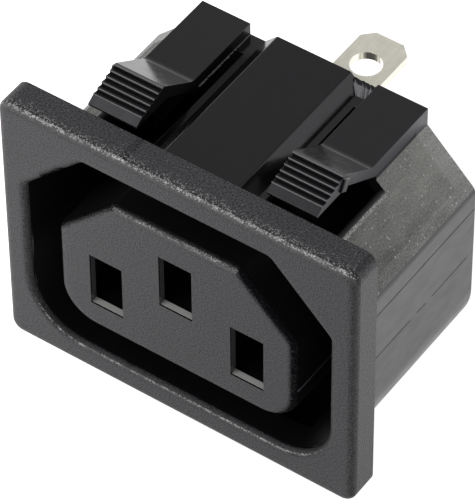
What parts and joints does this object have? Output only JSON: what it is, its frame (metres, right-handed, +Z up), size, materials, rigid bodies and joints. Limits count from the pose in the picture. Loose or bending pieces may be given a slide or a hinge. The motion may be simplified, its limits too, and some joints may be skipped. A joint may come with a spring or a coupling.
{
  "type": "panel socket",
  "caption": "Snap-in panel socket: rectangular flange, slotted core in a deep trench, serrated snap arms on the shroud, tinned contacts with solder lugs; takes an earthed appliance plug.",
  "frame": {"origin": "middle of the flange's rear face, which lies on the panel", "axes": "+X to the right seen from the front, +Y into the panel towards the solder lugs, +Z up, with the earth slot above the other two"},
  "size_m": [0.0348, 0.0313, 0.03],
  "materials": {
    "housing_plastic": "black thermoplastic, fine eroded grain on the flange and slopes, smoother on the snap arms and roof",
    "contact_metal": "tin-plated brass, satin"
  },
  "bodies": {
    "root": {"housing": "housing_plastic", "earth_contact": "contact_metal", "live_contact": "contact_metal", "neutral_contact": "contact_metal"}
  },
  "joints": []
}
